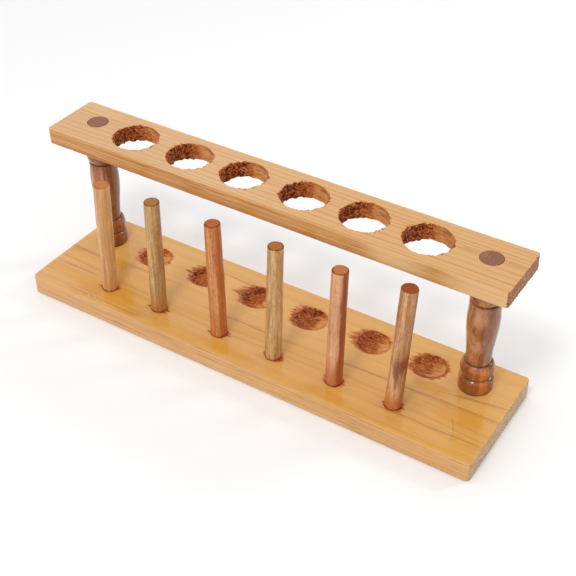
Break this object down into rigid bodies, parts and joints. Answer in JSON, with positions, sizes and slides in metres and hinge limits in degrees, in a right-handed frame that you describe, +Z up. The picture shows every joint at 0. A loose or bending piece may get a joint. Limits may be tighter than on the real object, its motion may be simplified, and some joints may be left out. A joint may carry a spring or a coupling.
{
  "type": "test tube rack",
  "caption": "Wooden bench rack for test tubes: a drilled top board on turned posts over a dimpled base board, with a row of drying pegs in front.",
  "frame": {"origin": "middle of the base board's underside, on the bench face", "axes": "+X along the boards to the right, +Y to the back (the pegs are at the front, -Y), +Z up"},
  "size_m": [0.238, 0.061, 0.0783],
  "materials": {
    "pine_top": "satin clear varnish over planed softwood, fine straight grain along the length",
    "honey_base": "satin clear varnish, golden, with a few darker grain lines along the length",
    "walnut_post": "high-gloss dark brown varnish over turned wood",
    "peg_beige": "satin clear varnish over a wooden dowel, grain along its length",
    "peg_straw": "satin clear varnish over a wooden dowel, grain along its length",
    "peg_rust": "satin clear varnish over a wooden dowel, grain along its length",
    "peg_olive": "satin clear varnish over a wooden dowel, grain along its length",
    "peg_chestnut": "satin clear varnish over a wooden dowel, grain along its length",
    "peg_umber": "satin clear varnish over a wooden dowel, grain along its length"
  },
  "bodies": {
    "root": {"base_board": "honey_base", "top_board": "pine_top", "post_left": "walnut_post", "post_right": "walnut_post", "peg_1": "peg_beige", "peg_2": "peg_straw", "peg_3": "peg_rust", "peg_4": "peg_olive", "peg_5": "peg_chestnut", "peg_6": "peg_umber"}
  },
  "joints": []
}
